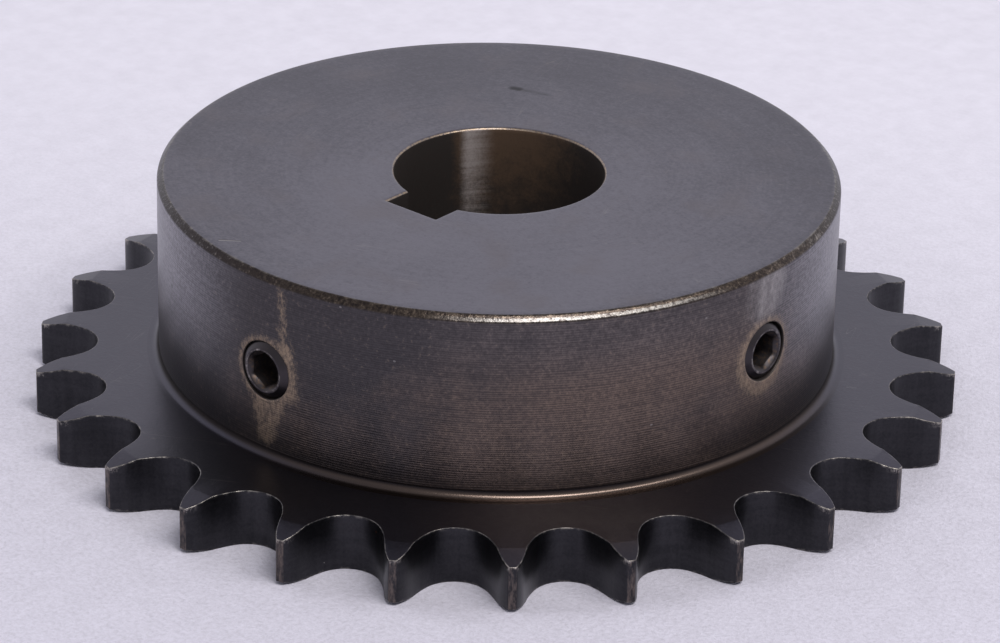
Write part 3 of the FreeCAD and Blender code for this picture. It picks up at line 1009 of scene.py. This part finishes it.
def face_finish():
    """The hub's and plate's flat faces: clouds, an even grain, faint turning rings and scratches, a painted
    sheen towards the front of the hub's face, and painted reflections on the plate.
    """
    look = Finish("blackened_face")
    clouds = look.noise(look.place, 0.05, 3.0, 0.6)
    tint = look.noise(look.place, 0.11, 2.0, 0.6)
    mottle = look.noise(look.place, 0.75, 2.0, 0.7)
    grain = look.noise(look.place, 2.0, 2.0, 0.8)
    rings = look.noise(look.vector(look.radius * 1.7, look.x * 0.03, look.y * 0.03), 1.0, 2.0, 0.6)
    # The face's random tone, with painted sheen from the paler patch towards the front
    light = clouds + mottle * 0.9 + grain * 1.6 + rings * 0.5 + look.stroke(*FACE_SHEEN_PATCH) * 0.85 - 2.11
    look.colour = look.mix(light.step(-0.5, 1.1), OXIDE_FACE, FACE_LIGHT_TONE_AND_SHEEN)
    look.coat(tint.step(0.5, 0.75) * 0.4, OXIDE_FACE_BROWN)
    plate = look.z.step(PLATE_THICKNESS + 2, PLATE_THICKNESS + 1)
    look.coat(plate * (0.95 - grain * 0.3), OXIDE_PLATE)
    # Painted reflection: a paler patch on the plate in front of the hub's bronze side
    look.coat(look.stroke(*PLATE_REFLECTION_PATCH) * (0.3 + mottle * 0.6) * plate, PLATE_PAINTED_REFLECTION)
    # Painted reflection: a darker patch on the plate in front of the hub
    look.coat(look.stroke(*PLATE_DARK_REFLECTION_PATCH) * plate * 0.5, OXIDE_TOOTH)
    depth = HUB_LENGTH - look.z
    mouth = depth.step(0.02, 0.06) * depth.step(0.5, 0.4) * look.radius.step(BORE_RING + 2, BORE_RING + 1)
    look.coat(mouth * grain.step(0.2, 0.7), WORN_TAN)
    scratches = look.scratches(0.5, 1.3, 0.008).most(look.scratches(1.9, 2.1, 0.005))
    look.coat(scratches * 0.12, BARE_STEEL)
    smear = (look.stroke(*DARK_SMEAR) * 0.5).most(look.stroke(*DARK_DOT))
    look.coat(smear * 0.85, OXIDE_TOOTH)
    dents = look.stroke(*FACE_NICK).most(look.stroke(*RIM_DENT, 0.45, 0.3, 0.25))
    look.coat(dents * 0.5, BARE_STEEL)
    look.coat(look.stroke(*PLATE_RUST) * 0.8, RUST)
    look.coat(look.specks(5.0, 0.11, 0.10) * 0.35, DUST)
    look.rub(look.wear * 0.8, BARE_STEEL, 0.9, 0.2, 1.7)
    roughness = 0.33 - plate * 0.05 + grain * 0.08 + smear * 0.15
    return look.finish(roughness, grain + mottle * 0.8 + rings * 0.4 - dents * 4.0, 0.016)


def wall_finish():
    """The hub's turned wall with its rim and foot: fine turning lines, a bronze tint with painted sheen low
    in front, painted sheen and shade at its sides and low down, painted highlights on the rim and foot in
    front, and bare metal round the holes."""
    look = Finish("turned_wall")
    wander = look.noise(look.stretched(0.05, 0.05, 0.25), 1.0, 1.0)
    lines = (look.z * (2 * math.pi / TURNING_FEED) + wander * 16.0).sine()
    grooves = look.noise(look.stretched(0.03, 0.03, 3.0), 1.0, 3.0, 0.75)
    clouds = look.noise(look.place, 0.07, 3.0, 0.7)
    grain = look.noise(look.place, 1.7, 2.0, 0.8)
    front = look.facing(BRONZE_SHEEN_AZIMUTH) / HUB_RADIUS
    toward = look.facing(HUB_HIGHLIGHT_AZIMUTH) / HUB_RADIUS
    aside = abs(look.facing(SIDE_AZIMUTH)) / HUB_RADIUS
    upper = look.z.step(24.0, 35.0)
    rise = look.z - PLATE_THICKNESS
    depth = HUB_LENGTH - look.z

    # Where the bronze tint and its painted sheen lie: low down and towards the front-right
    bronze = clouds * 2.4 + grooves * 0.25 + front.step(0.62, 1.0) * 0.92 - look.z * 0.027
    bronze = bronze + grain * 0.2 - 0.27
    bronze = bronze + look.stroke(*BRONZE_SHEEN_PATCH) * 0.9 - look.stroke(*GREY_PATCH) * 0.5
    look.colour = look.mix(upper * 0.75, BRONZE_TINT_AND_SHEEN, GREY_TINT_AND_SHEEN)
    look.colour = look.mix(bronze.step(0.30, 1.85), OXIDE_WALL, look.colour)
    # Painted sheen: the wall paler at both sides as seen from the front, higher up
    look.coat(aside.step(0.68, 1.0) * (look.z + clouds * 8.0).step(14.0, 32.0) * 0.9, WALL_PAINTED_SHEEN)
    # Painted shade: the wall darker low at both sides, and low near the plate, less so on the bronze side
    side_painted_shade = aside.step(0.50, 0.92) * (look.z + clouds * 3.0).step(20.5, 14.0) * 0.75
    corner = (rise + clouds * 3.0).step(6.5, 3.0) * (0.55 - front.step(0.70, 0.97) * 0.40)
    look.coat(corner.most(side_painted_shade), WALL_DARK_LINES_AND_SHADE)
    lines = lines * (1 - upper * 0.45)
    look.coat((lines * 0.16 + grooves * 0.7 + grain * 1.2).step(1.20, 0.70) * 0.60, WALL_DARK_LINES_AND_SHADE)

    rim = depth.step(HUB_RIM_BREAK + 0.25, HUB_RIM_BREAK - 0.15)
    look.coat(rim * grain.step(0.90, 0.50), OXIDE_RIM)
    foot = rise.step(HUB_FOOT_FILLET + 0.25, HUB_FOOT_FILLET - 0.15)
    outer = rise.step(0.72, 0.05)
    foot_side = look.mix(outer, OXIDE_FOOT, OXIDE_PLATE)
    # Painted highlight: the foot's fillet lighter low down, on the side of the lamps' reflection
    foot_highlight = look.mix(rise.step(1.0, 0.5), OXIDE_FOOT, FOOT_PAINTED_HIGHLIGHT)
    look.coat(foot, look.mix(toward.step(0.40, 1.0), foot_side, foot_highlight))
    look.coat(grain.step(0.60, 0.75) * 0.22 * (1 - foot), WORN_TAN)
    # Painted highlight: tan specks and a pale band along the rim's middle, on the side of the lamps'
    # reflection
    look.coat(rim * toward.step(0.30, 0.85) * grain.step(0.25, 0.95) * 0.38, WORN_TAN)
    middle = depth.step(0.15, 0.5) * depth.step(0.95, 0.75)
    rim_highlight_mask = toward.step(0.88, 0.985) * (middle * 2.0 + grain * 2.9 - 2.60).step(0.0, 1.3)
    look.coat(rim_highlight_mask * rim, RIM_PAINTED_HIGHLIGHT)

    bare = look.strokes(BARE_PATCHES)
    speckle = look.noise(look.stretched(1.0, 1.0, 0.6), 1.9, 3.0, 0.8)
    look.coat((bare * 1.2 + speckle * 2.5 - 1.74).step(0.0, 1.25) * (1 - rim), WORN_TAN)
    pale = look.stroke(*PALE_PATCH) * 0.6
    for streak in PALE_STREAKS:
        pale = pale + look.stroke(*streak) * 0.4
    look.coat((pale + speckle - 0.72).step(0.0, 1.55) * (1 - rim), DUST)
    look.coat(look.specks(7.0, 0.11, 0.10).most(look.strokes(WALL_DOTS)) * 0.35, DUST)
    look.coat(look.stroke(*WALL_PIT) * 0.9, OXIDE_TOOTH)
    look.coat(look.stroke(*RIM_DENT, 0.5, 0.35, 0.3) * grain.step(0.4, 0.6) * 0.6, BARE_STEEL)
    look.rub(look.wear * 0.8, BARE_STEEL, 0.9, 0.2, 1.7)
    roughness = 0.32 + grain * 0.10 + bare * 0.05 - rim * 0.06
    roughness = roughness - foot * (0.12 - aside.step(0.3, 0.9) * (0.35 - outer * 0.27))
    lined = (1 - rim) * (1 - foot)
    height = (lines * 0.40 + grooves * 1.2) * lined + grain * (1.4 + rim * 2.4 - foot * 1.1)
    return look.finish(roughness, height, 0.016)


def bore_finish():
    """The bore, the keyway and the threads: brown, with a painted highlight and painted brown light down its
    far side, and the marks of the boring tool.
    """
    look = Finish("bored_steel")
    rings = look.noise(look.stretched(0.06, 0.06, 1.6), 1.0, 3.0, 0.7)
    blotches = look.noise(look.place, 0.45, 2.0, 0.6)
    grain = look.noise(look.place, 2.2, 2.0, 0.8)
    toward = look.facing(BORE_HIGHLIGHT_AZIMUTH) / look.radius
    beside = look.facing(BORE_HIGHLIGHT_AZIMUTH + math.pi / 2) / look.radius
    # Painted light: brown round the painted highlight on the bore's far side, stronger higher up
    glow = toward.step(0.25, 1.0) * beside.step(0.35, 0.10)
    upper = look.z.step(12.0, HUB_LENGTH)
    top = look.z.step(22.0, HUB_LENGTH)
    light = blotches * 0.6 + grain * 0.5 - 0.05 + glow * (0.16 + upper * 0.22 + top * 0.36)
    look.colour = look.mix(light.step(0.55, 1.25), OXIDE_BORE, BROWN_SPECKS_AND_PAINTED_GLOW)
    # Painted highlight: a pale streaked band down the bore's far side
    strip = beside.step(0.24, 0.08) * beside.step(-0.28, 0.12) * toward.step(0.0, 0.5)
    strip = strip * (rings * 0.9 + grain * 0.6 + upper * 0.50 - 0.42)
    look.coat(strip.step(0.10, 1.05) * 0.9, BORE_PAINTED_HIGHLIGHT)
    look.rub(look.wear, WORN_TAN, 1.2, 0.3, 1.5)
    height = rings * 1.2 + blotches * 0.5 + grain
    return look.finish(0.42 + grain * 0.1, height, 0.02, metallic=0.5 + look.wear * 0.5)


def tooth_finish():
    """The teeth's flanks and tips: near black and a little glossier, brownish and streaked at the lands."""
    look = Finish("cut_teeth")
    streaks = look.noise(look.stretched(0.8, 0.8, 0.07), 1.0, 2.0, 0.6)
    bands = look.noise(look.stretched(0.12, 0.12, 0.9), 1.0, 2.0, 0.6)
    drawn = look.noise(look.stretched(1.6, 1.6, 0.4), 1.0, 3.0, 0.8)
    grain = look.noise(look.place, 2.2, 2.0, 0.8)
    light = streaks * 0.5 + bands * 0.5 + grain * 0.7
    look.colour = look.mix(light.step(0.55, 1.15), OXIDE_TOOTH, OXIDE_TOOTH_LIGHT)
    inset = OUTSIDE_RADIUS - look.radius
    land = inset.step(0.10, 0.03)
    look.coat(land * drawn.step(0.38, 0.66), OXIDE_LAND)
    tip = inset.step(1.8, 0.1) * (look.z - (PLATE_THICKNESS - TIP_BEVEL_DROP)).step(-0.9, 0.0)
    look.coat(tip * (drawn * 0.9 + grain * 0.8).step(0.80, 1.05), BARE_STEEL)
    look.coat(look.specks(4.0, 0.12, 0.14) * 0.5, DUST)
    look.coat(look.specks(9.0, 0.22, 0.10) * 0.6, RUST)
    look.rub(look.wear * (0.75 + tip * 0.4), BARE_STEEL, 1.0, 0.35, 1.25)
    height = streaks * 0.6 + bands * 0.3 + grain * 0.8 + (land + tip) * drawn * 2.0
    return look.finish(0.29 + grain * 0.1, height, 0.014)


def screw_finish():
    """The set screws: a smooth dark oxide, bright where their edges are worn."""
    look = Finish("screw_oxide")
    grain = look.noise(look.place, 2.2, 2.0, 0.8)
    look.colour = look.mix(grain.step(0.62, 0.8) * 0.4, SCREW_OXIDE, BROWN_SPECKS_AND_PAINTED_GLOW)
    look.rub(look.wear, BARE_STEEL, 0.9, 0.45, 1.4)
    return look.finish(0.25 + grain * 0.1, grain, 0.014)


def socket_finish():
    """The inside of the set screws' hexagon sockets: oily brown."""
    look = Finish("socket_brown")
    grain = look.noise(look.place, 1.8, 2.0, 0.7)
    look.colour = look.mix(grain.step(0.45, 0.7), SCREW_OXIDE, SOCKET_BROWN)
    return look.finish(0.38 + grain * 0.1, grain, 0.014, metallic=0.8)


# The cloth's colours: between its fibres, in front of the object, and behind it, where it is painted paler
# as if more lit
CLOTH_SHADE = tone(0.42, 0.41, 0.47)
CLOTH_FRONT = tone(0.700, 0.688, 0.808)
CLOTH_BACK_PAINTED_LIGHT = tone(0.835, 0.822, 0.930)

# How far the cloth lies under the plate, and rises beside the teeth, in mm
CLOTH_CLEARANCE = 0.02
CLOTH_RISE = 0.75

# Radii where the cloth's rise starts and ends, and of its other rings, in mm
CLOTH_RISE_START = OUTSIDE_RADIUS - TIP_BEVEL_WIDTH - 2
CLOTH_RISE_END = OUTSIDE_RADIUS + 4
CLOTH_INNER_RING = 30.0
CLOTH_OUTER_RINGS = (120, 400, 12000)

# Numbers of rings on the cloth's rise and of points round each
CLOTH_RISE_RINGS = 13
CLOTH_COLUMNS = 96


def cloth_finish():
    """A pale felted cloth: short fibres and a soft unevenness, plainer towards the back, painted paler there
    as if more lit, and with painted shade towards its right.
    """
    look = Finish("pale_cloth")
    fibres = look.noise(look.place, 1.3, 3.0, 0.8)
    lumps = look.noise(look.place, 0.22, 2.0, 0.7)
    ahead = look.facing(FRONT_AZIMUTH)
    near = ahead.step(-150.0, 40.0)
    aside = look.facing(FRONT_AZIMUTH + math.pi / 2).step(0.0, 150.0)
    look.colour = look.mix(ahead.step(130.0, -190.0), CLOTH_FRONT, CLOTH_BACK_PAINTED_LIGHT)
    shade = (0.61 - fibres).most(0.0) * (near * 1.25 + 0.1) + (lumps - 0.3).most(0.0) * 0.32
    # Painted shade: the cloth a little darker towards the right as seen from the front
    look.coat(shade + aside * 0.05, CLOTH_SHADE)
    return look.finish(1.0, fibres * (near * 0.8 + 0.2), 0.30, metallic=0.0, strength=0.7)


def make_floor():
    """The cloth that the sprocket lies on: flat under the plate, rising softly to the teeth's bevel."""
    rise = np.linspace(CLOTH_RISE_START, CLOTH_RISE_END, CLOTH_RISE_RINGS)
    radii = np.concatenate([[CLOTH_INNER_RING], rise, CLOTH_OUTER_RINGS])
    share = np.clip((radii - CLOTH_RISE_START) / (CLOTH_RISE_END - CLOTH_RISE_START), 0, 1)
    heights = CLOTH_RISE * share * share * (3 - 2 * share) - CLOTH_CLEARANCE
    surface = Surface()
    ring = circle(1.0, CLOTH_COLUMNS)
    points = np.stack([level(ring * radius, height) for radius, height in zip(radii, heights)])
    surface.grid(points, 0, flip=True)
    surface.fan(points[0], (0.0, 0.0, heights[0]), 0)
    surface.piece("floor", [cloth_finish()])


def add_object(name, data, right, up, back, place):
    """An object in the scene with its own three axes, at a place in metres."""
    added = bpy.data.objects.new(name, data)
    rows = np.column_stack([right, up, back, place]).tolist()
    added.matrix_world = Matrix([*rows, [0, 0, 0, 1]])
    bpy.context.scene.collection.objects.link(added)
    return added


# The camera at the photograph's viewing angle: where it stands in metres, and its own axes
CAMERA_PLACE = (0.41453507, -0.48880298, 0.31983627)
CAMERA_RIGHT = (0.75694412, 0.65317984, 0.01979152)
CAMERA_UP = (-0.29633477, 0.31610224, 0.9012575)
CAMERA_BACK = (0.58242708, -0.68806648, 0.43283163)
CAMERA_LENS = 167.697
SENSOR_WIDTH = 36.0


def make_camera():
    """The camera, which looks at the object from where the photograph was taken."""
    data = bpy.data.cameras.new("camera")
    data.lens = CAMERA_LENS
    data.sensor_width = SENSOR_WIDTH
    data.sensor_fit = "HORIZONTAL"
    data.clip_start = 0.01
    camera = add_object("camera", data, CAMERA_RIGHT, CAMERA_UP, CAMERA_BACK, CAMERA_PLACE)
    bpy.context.scene.camera = camera


# The soft boxes' distance from the object and their height, in metres
BOX_DISTANCE = 1.2
BOX_HEIGHT = 0.16


def soft_box(name, azimuth, elevation, width, power, colour):
    """A rectangular lamp aimed at the object. Azimuth is in degrees to the right of the front, seen from
    above the object, and elevation above the floor."""
    data = bpy.data.lights.new(name, "AREA")
    data.shape = "RECTANGLE"
    data.size = width
    data.size_y = BOX_HEIGHT
    data.energy = power
    data.color = colour
    turn = FRONT_AZIMUTH + math.radians(azimuth)
    rise = math.radians(elevation)
    back = np.array([math.sin(turn) * math.cos(rise), -math.cos(turn) * math.cos(rise), math.sin(rise)])
    right = np.array([math.cos(turn), math.sin(turn), 0.0])
    add_object(name, data, right, np.cross(back, right), back, back * BOX_DISTANCE)


# The room's light from behind the object, from its sides and overhead
ROOM_BEHIND = 0.98
ROOM_AROUND = 0.50
ROOM_OVERHEAD = 0.38
ROOM_TINT = tone(0.95, 0.94, 1.0)


def make_room():
    """Light from all round: brightest behind the object and low, dim in front and overhead."""
    world = bpy.data.worlds.new("room")
    world.use_nodes = True
    bpy.context.scene.world = world
    room = Nodes(world.node_tree)
    direction = room.node("ShaderNodeTexCoord", {}, {}, "Generated")
    height = room.node("ShaderNodeSeparateXYZ", {}, {"Vector": direction}, "Z")
    away = (-math.sin(FRONT_AZIMUTH), math.cos(FRONT_AZIMUTH), 0.0)
    behind = room.vector_math("DOT_PRODUCT", direction, away)
    low = height.step(0.88, 0.50)
    around = low * (ROOM_AROUND - ROOM_OVERHEAD) + ROOM_OVERHEAD
    strength = around + low * behind.step(-0.60, 0.60) * (ROOM_BEHIND - ROOM_AROUND)
    light = room.node("ShaderNodeBackground", {}, {"Color": ROOM_TINT, "Strength": strength})
    room.node("ShaderNodeOutputWorld", {}, {"Surface": light})


def make_light():
    """The room, a broad soft box high on the right and a smaller one in front of it."""
    make_room()
    soft_box("broad_box", azimuth=34, elevation=56, width=1.2, power=6.5, colour=(1.0, 0.955, 0.90))
    soft_box("front_box", azimuth=22, elevation=62, width=0.36, power=3.2, colour=(1.0, 0.98, 0.96))


def dress():
    """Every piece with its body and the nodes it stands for."""
    finishes = [face_finish(), wall_finish(), bore_finish(), tooth_finish()]
    body = sprocket(finishes)
    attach(body, "root")
    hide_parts("sprocket")
    screw_finishes = [screw_finish(), socket_finish()]
    screws = (
        ("keyway_screw", "keyway_set_screw", 0, KEYWAY_HOLE_HEIGHT, KEYWAY_SCREW_OUT),
        ("side_screw", "side_set_screw", 1, SIDE_HOLE_HEIGHT, SIDE_SCREW_OUT),
    )
    for name, node, side, height, head_out in screws:
        screw = set_screw(name, side, height, head_out, screw_finishes)
        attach(screw, "root")
        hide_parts(node)


dress()
make_floor()
make_camera()
make_light()
bpy.context.scene.view_settings.view_transform = "Standard"
